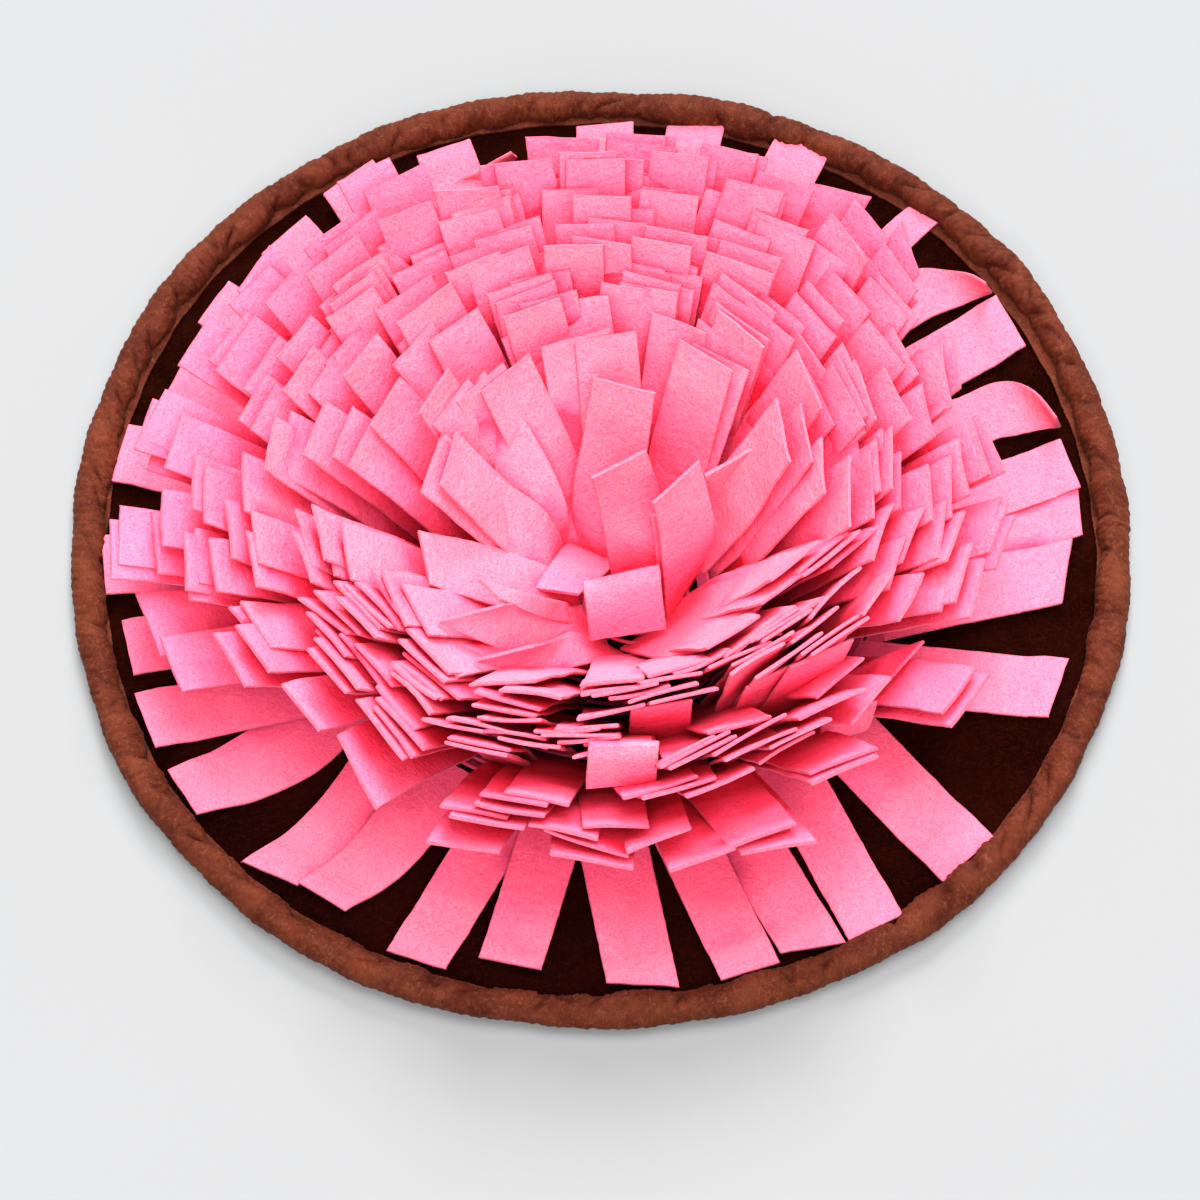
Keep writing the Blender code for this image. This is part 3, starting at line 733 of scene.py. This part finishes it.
# Strips that fold over. One row for each line across the strip, from its sewn end to its cut end: u, v and
# height in mm at its left side, then at its right side. The key is the number of the sewing line.
CURLED = {
    1: (
        ((616, 600, 3.4, 664, 606, 3.4), (608, 553, 30, 664, 560, 30), (600, 510, 58, 661, 500, 58), (592, 478, 84, 646, 450, 88)),
        ((667, 630, 3.4, 681, 596, 3.4), (664, 585, 31, 708, 553, 31), (660, 540, 60, 713, 517, 60), (653, 503, 86, 699, 461, 88)),
        ((661, 622, 3.4, 680, 592, 3.4), (658, 580, 28, 690, 575, 22), (655, 545, 52, 688, 545, 44), (650, 516, 75, 674, 512, 64)),
        ((596, 606, 3.4, 650, 612, 3.4), (588, 604, 26, 655, 592, 26), (583, 582, 46, 659, 566, 46), (585, 600, 44, 661, 585, 43),
         (590, 640, 26, 666, 628, 25)),
    ),
    2: (
        ((678, 605, 3.4, 690, 585, 3.4), (676, 560, 28, 706, 545, 28), (683, 512, 56, 716, 495, 57), (705, 475, 80, 751, 449, 82)),
        ((590, 628, 3.4, 574, 604, 3.4), (545, 618, 38, 546, 598, 46), (500, 600, 67, 479, 580, 72)),
    ),
    3: (
        ((609, 648, 3.4, 585, 604, 3.4), (565, 656, 22, 562, 608, 24), (508, 651, 45, 535, 602, 46), (438, 622, 66, 503, 604, 66)),
        ((582, 622, 3.4, 586, 590, 3.4), (540, 618, 22, 546, 566, 22), (486, 603, 38, 490, 546, 40), (429, 585, 52, 418, 531, 57)),
        ((620, 650, 3.4, 664, 622, 3.4), (660, 658, 34, 705, 612, 34), (706, 649, 62, 761, 606, 64)),
    ),
    4: (
        ((563, 612, 3.4, 568, 560, 3.4), (530, 568, 26, 548, 514, 30), (476, 534, 44, 500, 478, 52), (422, 492, 61, 442, 432, 71)),
        ((574, 543, 3.4, 630, 571, 3.4), (573, 491, 29, 636, 508, 29), (584, 432, 55, 647, 450, 55), (593, 378, 80, 655, 393, 80)),
        ((572, 544, 3.4, 614, 565, 3.4), (566, 545, 12, 613, 566, 14), (552, 562, 20, 598, 580, 20), (533, 589, 25, 578, 595, 25)),
    ),
    5: (
        ((549, 590, 3.4, 567, 545, 3.4), (512, 530, 27, 565, 500, 34), (480, 472, 46, 528, 425, 57), (447, 422, 62, 484, 371, 74)),
        ((640, 664, 3.4, 600, 642, 3.4), (588, 664, 22, 572, 632, 22), (535, 675, 42, 553, 640, 42), (474, 660, 60, 534, 646, 60)),
    ),
    13: (
        ((700, 745, 3.4, 750, 728, 3.4), (722, 722, 26, 765, 700, 26), (729, 700, 50, 777, 668, 50), (732, 675, 76, 785, 643, 76)),
    ),
    14: (
        ((628, 772, 3.4, 684, 768, 3.4), (628, 752, 28, 688, 745, 28), (629, 730, 54, 690, 722, 54), (631, 710, 76, 692, 700, 76)),
        ((588, 728, 3.4, 654, 724, 3.4), (589, 745, 48, 657, 743, 48), (589, 743, 82, 659, 742, 82), (588, 752, 87, 658, 750, 87),
         (586, 788, 66, 656, 783, 66)),
    ),
    16: (
        ((712, 762, 3.4, 764, 750, 3.4), (724, 732, 27, 775, 715, 25), (735, 710, 53, 790, 690, 50), (746, 688, 78, 806, 658, 77)),
    ),
    17: (
        ((742, 752, 3.4, 796, 738, 3.4), (752, 724, 28, 811, 712, 28), (768, 699, 56, 833, 678, 56), (790, 667, 82, 853, 640, 82)),
        ((786, 735, 3.4, 796, 708, 3.4), (828, 712, 22, 830, 684, 22), (858, 698, 36, 872, 662, 36), (884, 686, 48, 924, 641, 48)),
    ),
    19: (
        ((760, 738, 3.4, 800, 730, 3.4), (802, 744, 14, 848, 733, 15), (818, 738, 34, 868, 727, 34), (823, 711, 54, 877, 702, 54)),
    ),
}


# Strips of the outermost comb whose one long side rolls up towards the cut end.
ROLLED_FLATS = (
    ((450, 198, 4.5, 478, 192, 4.5), (476, 173, 9, 494, 179, 4.5), (495, 161, 14, 507, 166, 4.5), (511, 152, 17, 517, 157, 5)),
    ((868, 292, 4.5, 884, 346, 4.5), (914, 270, 5, 930, 318, 4.5), (945, 270, 9, 960, 306, 4.5), (969, 274, 15, 980, 297, 4.5), (985, 284, 20, 992, 292, 5)),
    ((926, 412, 4.5, 954, 466, 4.5), (964, 396, 5, 992, 441, 4.5), (990, 384, 8, 1012, 436, 4.5), (1015, 382, 12, 1035, 431, 4.5),
     (1036, 393, 17, 1048, 428, 4.5), (1056, 418, 20, 1060, 427, 5)),
)


def through(rows, heights, comb=None):
    """The two long sides of a strip through given lines across it, and its middle, each at 40 even steps. With
    a comb, the strip starts on that comb's sewing line, from which it runs straight to the first given line."""
    ends = []
    for side in (0, 1):
        ends.append(np.array([at_height(u, v, z) for u, v, z in zip(rows[:, 2 * side], rows[:, 2 * side + 1], heights[:, side])]))
    if comb is not None:
        middles = (ends[0][:2] + ends[1][:2]) / 2
        way = unit((middles[0] - middles[1])[:2])
        start = middles[0][:2] - comb["centre"]
        b = float(start @ way)
        gap = b * b - float(start @ start) + comb["radius"] ** 2
        met = start + way * (-b - math.sqrt(gap)) if gap > 0 else start * comb["radius"] / np.linalg.norm(start)
        angle = math.atan2(met[1], met[0])
        root = root_of(comb, angle, 0.0)
        half = 0.0125 * np.array((-math.sin(angle), math.cos(angle), 0.0))
        if half @ (ends[1][0] - ends[0][0]) < 0:
            half = -half
        if np.linalg.norm((root - middles[0])[:2]) > 0.006:
            ends = [np.concatenate(([root - half], ends[0])), np.concatenate(([root + half], ends[1]))]
    sides = []
    for points in ends:
        around = np.concatenate((2 * points[:1] - points[1:2], points, 2 * points[-1:] - points[-2:-1]))
        t = np.linspace(0.0, 1.0, 14)[:, None]
        curve = []
        for a, b, c, d in zip(around, around[1:], around[2:], around[3:]):
            curve.append(0.5 * (2 * b + (c - a) * t + (2 * a - 5 * b + 4 * c - d) * t**2 + (3 * b - a - 3 * c + d) * t**3)[:-1])
        sides.append(np.concatenate(curve + [points[-1:]]))
    left, right = sides
    middle, length = evenly((left + right) / 2, 40)
    walked = np.concatenate(([0.0], np.cumsum(np.linalg.norm(np.diff((left + right) / 2, axis=0), axis=1))))
    wanted = np.linspace(0.0, walked[-1], 40)
    left = np.stack([np.interp(wanted, walked, left[:, k]) for k in range(3)], axis=1)
    right = np.stack([np.interp(wanted, walked, right[:, k]) for k in range(3)], axis=1)
    return left, right, middle


def curled_strip(rows, seed, comb=None):
    """A strip through given lines across it."""
    rows = np.array(rows, dtype=float)
    left, right, middle = through(rows[:, (0, 1, 3, 4)], rows[:, (2, 5)] / 1000, comb)
    across = right - left
    half = np.linalg.norm(across, axis=1) / 2
    return strip_mesh(middle, unit(across), half, 0.0, seed, ripple=0.0003, sides=(left, right))


def bent_flat(rows, seed, lift, comb):
    """A strip that lies flat but runs in a curve on the base, through given lines across it."""
    rows = np.array(rows, dtype=float)
    left, right, _ = through(rows, np.full((len(rows), 2), 0.0046), comb)
    for line in (left, right):
        line[:, 2] = lying_height(np.linalg.norm(line[:, :2], axis=1), lift)
    across = right - left
    return strip_mesh((left + right) / 2, unit(across), np.linalg.norm(across, axis=1) / 2, 0.0, seed, ripple=0.0002, sides=(left, right))


RAYS = 26


def ray_directions():
    """Directions over the upper half of the sky and a little below its edge."""
    directions = []
    for k in range(RAYS):
        z = 0.97 - 1.07 * (k + 0.5) / RAYS
        turn = k * 2.399963
        flat = math.sqrt(1 - z * z)
        directions.append(Vector((flat * math.cos(turn), flat * math.sin(turn), z)))
    return directions


def openness(parts_of_combs):
    """For each strip, how much of the sky its two faces see, at every point of its mesh."""
    points, faces, start = [], [], 0
    for parts in parts_of_combs:
        for p, f, e, s in parts:
            points.append(p)
            faces.append(f + start)
            start += len(p)
    tree = BVHTree.FromPolygons(np.concatenate(points).tolist(), np.concatenate(faces).tolist(), all_triangles=False)
    directions = ray_directions()
    cast = tree.ray_cast
    columns, rows = len(COLUMNS), ROWS
    used_rows = np.unique(np.concatenate((np.arange(0, rows - 2, 3), (rows - 2,))))
    used_columns = (1, 3, 4, 6)
    result = []
    for parts in parts_of_combs:
        opened = [None]
        for p, f, e, s in parts[1:]:
            grid = p[: rows * columns].reshape(rows, columns, 3)
            under = p[rows * columns : 2 * rows * columns].reshape(rows, columns, 3)
            normal = unit(grid - under + 1e-12)
            both = []
            for face, sign in ((grid, 1.0), (under, -1.0)):
                seen = np.zeros((len(used_rows), len(used_columns)))
                for i, r in enumerate(used_rows):
                    for j, c in enumerate(used_columns):
                        n = Vector(normal[r, c] * sign)
                        origin = Vector(face[r, c]) + n * 0.0005
                        total = clear = 0.0
                        for d in directions:
                            w = n.dot(d)
                            if w > 0.04:
                                total += w
                                if cast(origin, d, 0.060)[0] is None:
                                    clear += w
                        seen[i, j] = clear / total if total else 0.0
                full = np.stack([np.interp(np.arange(rows), used_rows, seen[:, j]) for j in range(len(used_columns))], axis=1)
                full = np.stack([np.interp(COLUMNS, COLUMNS[list(used_columns)], full[r]) for r in range(rows)])
                both.append(full.ravel())
            top, bottom = both
            index = np.arange(rows * columns).reshape(rows, columns)
            ring = np.concatenate((index[0, :-1], index[:-1, -1], index[-1, :0:-1], index[:0:-1, 0]))
            opened.append(np.concatenate((top, bottom, np.maximum(top, bottom)[ring])))
        # the sewn bands get a fixed low openness, so painted shade darkens them
        opened[0] = np.full(len(parts[0][0]), 0.12)
        result.append(opened)
    return result


def share_out(ends, numbered):
    """Gives each cut end to the sewing line that suits it best, with room beside its neighbours there."""
    placed = {number: [] for number in range(1, len(COMBS) + 1)}

    def put(number, corners, tip, angle):
        u1, v1, u2, v2 = corners
        edge = at_height(u2, v2, tip[2]) - at_height(u1, v1, tip[2])
        placed[number].append((angle, tip, unit(edge), float(np.clip(np.linalg.norm(edge), 0.0245, 0.0335))))

    for *corners, number in numbered:
        u1, v1, u2, v2 = corners
        tip, angle, miss = solve_tip(COMBS[number - 1], (u1 + u2) / 2, (v1 + v2) / 2, COMBS[number - 1]["length"] - 0.0015)
        if miss > 0.05:
            print("far off", corners, number, round(miss, 3))
        put(number, corners, tip, angle)
    offers, table = [], {}
    for index, (u1, v1, u2, v2) in enumerate(ends):
        for number, comb in enumerate(COMBS[:-1], 1):
            reach = comb["length"] - 0.0015
            tip, angle, miss = solve_tip(comb, (u1 + u2) / 2, (v1 + v2) / 2, reach)
            offers.append((miss, index, number, tip, angle))
            table[index, number] = (miss, tip, angle)
    offers.sort(key=lambda offer: offer[0])
    done = {}
    fixed = {number: [entry[0] for entry in entries] for number, entries in placed.items()}
    for tight, most in ((0.80, 0.007), (0.60, 0.009), (0.42, 0.012), (0.26, 0.016), (0.10, 0.03), (0.0, 9.0)):
        for miss, index, number, tip, angle in offers:
            if index in done or miss > most:
                continue
            pitch = 2 * math.pi / COMBS[number - 1]["teeth"]
            apart = [abs((angle - other + math.pi) % (2 * math.pi) - math.pi) for other in fixed[number]]
            if min(apart or [9.0]) < tight * pitch:
                continue
            fixed[number].append(angle)
            done[index] = number
    # of two strips side by side, the one that ends further out is sewn further out
    heart = np.array((0.0165, -0.037))
    middles = [((u1 + u2) / 2, (v1 + v2) / 2) for u1, v1, u2, v2 in ends]
    outward = [float(np.linalg.norm(at_height(u, v, 0.072)[:2] - heart)) for u, v in middles]
    pairs = []
    for i in range(len(ends)):
        for j in range(len(ends)):
            near = math.hypot(middles[i][0] - middles[j][0], middles[i][1] - middles[j][1])
            if near < 30.0 and outward[j] - outward[i] > 0.0007:
                pairs.append((i, j))
    for _ in range(30):
        swapped = 0
        for i, j in pairs:
            if done[i] > done[j] and table[i, done[j]][0] < 0.024 and table[j, done[i]][0] < 0.024:
                done[i], done[j] = done[j], done[i]
                swapped += 1
        if not swapped:
            break
    for index, number in sorted(done.items()):
        miss, tip, angle = table[index, number]
        put(number, ends[index], tip, angle)
    return placed


def make_strips(number, comb, claimed):
    """The band and all strips of one sewing line."""
    parts = [band_mesh(comb)]
    pitch = 2 * math.pi / comb["teeth"]
    if comb["ring"] == "flat":
        for index, values in enumerate(FLAT_ENDS):
            parts.append(flat_strip(comb, values, 900 + index))
        for index, (lift, rows) in enumerate(BENT_FLATS):
            parts.append(bent_flat(rows, 960 + index, lift / 1000, comb))
        for index, rows in enumerate(ROLLED_FLATS):
            parts.append(curled_strip(rows, 980 + index, comb))
        return parts
    claimed = sorted(claimed, key=lambda item: item[0])
    for index, (angle, tip, edge, wide) in enumerate(claimed):
        chance = random.Random(4000 * number + index)
        bend = comb["droop"] + chance.uniform(1.0, 9.0)
        sway, cup = chance.gauss(0.0, 3.5), chance.gauss(0.0, 0.0005)
        parts.append(standing_strip(comb, angle, tip, edge, bend, 4000 * number + index, width=wide, sway=sway, cup=cup))
    if number > 3:
        for index, item in enumerate(claimed):
            following = claimed[(index + 1) % len(claimed)][0] + (2 * math.pi if index + 1 == len(claimed) else 0.0)
            room = following - item[0]
            fill = int(room / pitch - 0.95)
            for k in range(fill):
                angle = item[0] + room * (k + 1) / (fill + 1)
                turn = math.degrees(angle) % 360.0
                if number > 16 or (number > 14 and math.sin(angle) < -0.55) or (number < 10 and 172.0 < turn < 262.0):
                    continue
                parts.append(default_strip(comb, index * 40 + k, angle, number))
    for index, rows in enumerate(CURLED[number] if number in CURLED else ()):
        parts.append(curled_strip(rows, 7000 * number + index))
    return parts


def build_fringes(material):
    placed = share_out(ENDS, NUMBERED_ENDS)
    parts_of_combs = [make_strips(number, comb, placed[number]) for number, comb in enumerate(COMBS, 1)]
    opened = openness(parts_of_combs)
    for number, comb in enumerate(COMBS, 1):
        parts = parts_of_combs[number - 1]
        print(comb["node"], comb["teeth"], "teeth,", len(placed[number]), "seen,", len(parts) - 1, "in all")
        points, faces, layers = join(parts)
        # open sets the felt's painted shade: raised for the inner combs and floored at 0.16 there, lowered for the
        # outer standing combs so they are painted darker; the bands use the ramp of the lying strips
        layers["open"] = np.concatenate(opened[number - 1]) * (1.2 if number < 6 else 1.0)
        layers["lying"] = np.full(len(points), 1.0 if comb["ring"] == "flat" else 0.0)
        layers["lying"][: len(parts[0][0])] = 1.0
        if 16 < number < len(COMBS):
            layers["open"] *= 0.80
        if number < 6:
            layers["open"] = np.maximum(layers["open"], 0.16)
        piece = make_object(f"felt_{number:02d}_{comb['ring']}", points, faces, material, layers)
        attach(piece, "root")
        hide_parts(comb["node"])


# ---------------------------------------------------------------- base and rim
def outline(angle, radius):
    share = -OUTLINE_SQUARENESS * np.cos(4 * angle)
    share = share + 0.0016 * np.sin(3 * angle + 0.6) + 0.0010 * np.sin(7 * angle + 2.1)
    return radius * (1 + share)


def build_base(material):
    """The round of cloth under everything: flat underneath, with a soft uneven top."""
    around, steps = 360, 60
    angles = np.linspace(0.0, 2 * math.pi, around, endpoint=False)
    shares = np.linspace(0.0, 1.0, steps + 1)[1:]
    edge = outline(angles, MAT_RADIUS) - 0.0114
    x = (shares[:, None] * edge * np.cos(angles)).ravel()
    y = (shares[:, None] * edge * np.sin(angles)).ravel()
    hill = 0.00010 * (np.sin(x * 91 + 1.0) * np.sin(y * 83 + 0.4) + 0.6 * np.sin(x * 210 - y * 160) + 0.5 * np.sin(x * 330 + y * 290 + 2.0))
    top = np.stack((x, y, BASE_THICKNESS - 0.0002 + hill), axis=1)
    bottom = np.stack((x, y, np.zeros_like(x)), axis=1)
    points = np.concatenate((top, bottom, [[0.0, 0.0, BASE_THICKNESS - 0.0001], [0.0, 0.0, 0.0]]))
    count = len(top)
    faces = []
    index = np.arange(count).reshape(steps, around)
    following = np.roll(index, -1, axis=1)
    for k in range(steps - 1):
        faces += np.stack((index[k], index[k + 1], following[k + 1], following[k]), axis=1).tolist()
        faces += (np.stack((index[k], following[k], following[k + 1], index[k + 1]), axis=1) + count).tolist()
    faces += np.stack((index[-1], index[-1] + count, following[-1] + count, following[-1]), axis=1).tolist()
    faces += [[a, b, 2 * count] for a, b in zip(index[0], following[0])]
    faces += [[b + count, a + count, 2 * count + 1] for a, b in zip(index[0], following[0])]
    mesh = bpy.data.meshes.new("base_round")
    mesh.from_pydata(points.tolist(), [], faces)
    mesh.update()
    mesh.shade_smooth()
    mesh.set_sharp_from_angle(angle=math.radians(50))
    made = bpy.data.objects.new("base_round", mesh)
    mesh.materials.append(material)
    bpy.context.scene.collection.objects.link(made)
    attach(made, "root")
    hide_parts("base_cloth")
    return made


def build_rim(material):
    """The gathered casing over its filling: lobes between slanting puckers, and its seam allowance lying
    inside it on the base."""
    chance = np.random.default_rng(5)
    around = 1800
    angles = np.linspace(0.0, 2 * math.pi, around, endpoint=False)
    arc = angles * MAT_RADIUS
    total = 2 * math.pi * MAT_RADIUS
    sections = 34
    turn = np.linspace(0.0, 2 * math.pi, sections, endpoint=False)  # 0 outwards, a quarter up
    # puckers: where each crosses the top of the rim, how it slants, how deep and how wide it is
    places = []
    walked = 0.004
    while walked < total - 0.008:
        places.append(walked)
        walked += chance.choice((0.008, 0.013, 0.018, 0.024, 0.032)) * chance.uniform(0.8, 1.2)
    places = np.array(places)
    slants = chance.normal(0.0045, 0.0055, len(places))
    depths = 0.0012 + 0.0030 * chance.random(len(places))
    widths = chance.uniform(0.0014, 0.0036, len(places))
    middles = chance.uniform(1.5, 2.9, len(places))
    spans = chance.uniform(0.55, 1.15, len(places))
    A, T = np.meshgrid(arc, turn, indexing="ij")
    dent = np.zeros_like(A)
    painted_crease_shade = np.zeros_like(A)
    for place, slant, depth, width, middle, span in zip(places, slants, depths, widths, middles, spans):
        wobble = 0.0011 * np.sin(2.3 * T + place * 900)
        offset = (A - place - slant * np.sin(T - math.pi / 2) - wobble + total / 2) % total - total / 2
        reach = np.exp(-(((T - middle + math.pi) % (2 * math.pi) - math.pi) / span) ** 2)
        sharp = np.exp(-np.sqrt(offset**2 + 0.0004**2) / width)
        dent += depth * sharp * reach
        # mask of painted shade along each pucker
        painted_crease_shade = np.maximum(painted_crease_shade, np.exp(-((offset / 0.0011) ** 2)) * reach * min(1.0, depth / 0.0022))
    # lobes: fuller between the puckers
    swell = np.zeros_like(A)
    for k in range(len(places)):
        left = places[k]
        right = places[(k + 1) % len(places)] + (total if k + 1 == len(places) else 0.0)
        inside = (A - 0.5 * (slants[k] + slants[(k + 1) % len(places)]) * np.sin(T - math.pi / 2) - left) % total
        part = inside / (right - left)
        swell = np.where(part < 1.0, 0.0014 * np.sin(math.pi * np.clip(part, 0, 1)) * min(1.3, (right - left) / 0.017) * (0.35 + 0.65 * np.clip(-np.cos(T), 0, 1)), swell)
    # crumples: a net of small creases that mostly run around the roll
    net = np.zeros_like(A)
    for _ in range(44):
        length, lean = chance.uniform(0.0055, 0.0170), math.radians(chance.uniform(-20.0, 62.0))
        turns, laps = round(math.cos(lean) * total / length), round(math.sin(lean) * 2 * math.pi * 0.0068 / length)
        net += np.cos(turns * A / MAT_RADIUS + laps * T + chance.uniform(0.0, 2 * math.pi))
    net /= math.sqrt(22.0)
    folds = np.clip(1.0 - 1.5 * np.abs(net), 0.0, 1.0) ** 2
    dent += 0.00075 * folds * np.clip(0.6 - 0.8 * np.cos(T), 0.15, 1.0)
    # the creases of the net get painted shade too
    painted_crease_shade = np.maximum(painted_crease_shade, 0.50 * np.clip(folds * 1.3 - 0.4, 0.0, 1.0))
    fine = 0.00022 * np.sin(A * 900 + 3 * np.sin(T * 2) + 2.2 * np.sin(A * 61)) * np.sin(T * 2 + A * 130)
    fine += 0.00016 * np.sin(A * 1700 - 4 * T + 1.3 * np.sin(A * 97 + 1.0))
    slow = 0.0004 * np.sin(A * 47 + 0.7) + 0.0003 * np.sin(A * 83 + 2.0)
    half_width, half_height = 0.0061, 0.0064
    bulge = swell + fine + slow - dent
    inward = half_width + 0.0002 - (half_width + bulge) * np.cos(T)
    height = half_height + (half_height + bulge) * np.sin(T)
    height = np.maximum(height, 0.0)
    # the foot is pressed flat
    centre_shift = 0.0007 * np.sin(A * 37 + 0.5) + 0.0005 * np.sin(A * 71 + 1.9)
    inward = inward + centre_shift * np.clip(np.sin(T), 0, 1)
    outer = outline(angles, MAT_RADIUS)[:, None]
    radius = outer - inward
    x, y = radius * np.cos(angles)[:, None], radius * np.sin(angles)[:, None]
    points = np.stack((x, y, height), axis=2).reshape(-1, 3)
    index = np.arange(around * sections).reshape(around, sections)
    ahead, over = np.roll(index, -1, axis=0), np.roll(index, -1, axis=1)
    both = np.roll(ahead, -1, axis=1)
    faces = np.stack((index.ravel(), ahead.ravel(), both.ravel(), over.ravel()), axis=1)
    tube = (points, faces, painted_crease_shade.reshape(-1), (np.abs(A - total / 2)).reshape(-1))
    wraps = [(np.abs(T - math.pi) * 0.0063).reshape(-1)]
    # the seam allowance
    columns = 4
    share = np.linspace(0.0, 1.0, columns)
    wide = 0.0016 + 0.0026 * np.exp(-(((angles - 0.75) / 0.55) ** 2)) + 0.0010 * np.exp(-(((angles - 2.4) / 0.6) ** 2)) + 0.0004 * np.sin(5 * angles) + 0.0003 * np.sin(A[:, 0] * 210) + chance.normal(0, 0.00008, around)
    begin = 0.0108
    inner = begin + (wide[:, None] + 0.0016) * share
    wave = 0.00022 * np.sin(A[:, :1] * 320 + 1.0) * share + 0.00014 * np.sin(A[:, :1] * 760 + 2.0) * share
    roof = BASE_THICKNESS + GAP + 0.0011 + wave + 0.0016 * (1 - share) ** 3
    floor_height = np.full_like(roof, BASE_THICKNESS + GAP)
    radius = outer - inner
    lx, ly = radius * np.cos(angles)[:, None], radius * np.sin(angles)[:, None]
    upper = np.stack((lx, ly, roof), axis=2)
    lower = np.stack((lx, ly, floor_height), axis=2)[:, ::-1]
    loop = np.concatenate((upper, lower), axis=1)
    each = loop.shape[1]
    index = np.arange(around * each).reshape(around, each)
    ahead, over = np.roll(index, -1, axis=0), np.roll(index, -1, axis=1)
    both = np.roll(ahead, -1, axis=1)
    faces = np.stack((index.ravel(), ahead.ravel(), both.ravel(), over.ravel()), axis=1)
    # painted shade where the seam allowance tucks under the rim: its inner edges get the crease darkening
    ledge_painted_shade = np.zeros((around, each))
    ledge_painted_shade[:, 0] = ledge_painted_shade[:, -1] = 0.9
    ledge = (loop.reshape(-1, 3), faces, ledge_painted_shade.ravel(), np.repeat(np.abs(arc - total / 2), each))
    wraps.append(np.tile(np.concatenate((share, share[::-1])) * 0.004, around))
    points, faces, layers = join([tube, ledge])
    layers = {"painted_crease_shade": layers["edge"], "arc": layers["along"], "wrap": np.concatenate(wraps)}
    made = make_object("rim_roll", points, faces, material, layers, sharp=70.0)
    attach(made, "root")
    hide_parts("edge_roll")
    return made


# ---------------------------------------------------------------- stage
def build_stage():
    n = Nodes("floor_paper")
    tone = n.noise(3.0, 2.0, 0.5)
    n.link(n.ramp(tone, (0.3, (0.252, 0.254, 0.257)), (0.7, (0.256, 0.258, 0.261))), n.shader.inputs["Base Color"])
    n.set("Roughness", 0.9)
    n.set("Specular IOR Level", 0.1)
    mesh = bpy.data.meshes.new("floor")
    size = 6.0
    mesh.from_pydata([(-size, -size, 0), (size, -size, 0), (size, size, 0), (-size, size, 0)], [], [(0, 1, 2, 3)])
    floor = bpy.data.objects.new("floor", mesh)
    mesh.materials.append(n.material)
    floor.location.z = -0.0003
    bpy.context.scene.collection.objects.link(floor)

    world = bpy.data.worlds.new("studio")
    world.use_nodes = True
    world.node_tree.nodes["Background"].inputs["Color"].default_value = (0.985, 0.992, 1.0, 1.0)
    world.node_tree.nodes["Background"].inputs["Strength"].default_value = 0.30
    bpy.context.scene.world = world

    def sun(name, way, spread, strength):
        data = bpy.data.lights.new(name, "SUN")
        data.angle = math.radians(spread)
        data.energy = strength
        light = bpy.data.objects.new(name, data)
        light.rotation_euler = (math.atan2(math.hypot(way[0], way[1]), -way[2]), 0.0, math.atan2(way[1], way[0]) - math.pi / 2)
        bpy.context.scene.collection.objects.link(light)

    sun("softbox_above", (-0.08, -0.16, -1.0), 42.0, 3.5)
    sun("window_behind", (-0.08, -1.20, -1.0), 24.0, 4.6)
    sun("fill_front", (0.05, 0.80, -1.0), 50.0, 3.5)
    view = bpy.context.scene.view_settings
    view.view_transform = "Standard"
    view.look = "None"


felt = felt_material()
base_piece = build_base(base_material())
build_rim(rim_material())
build_fringes(felt)
build_stage()
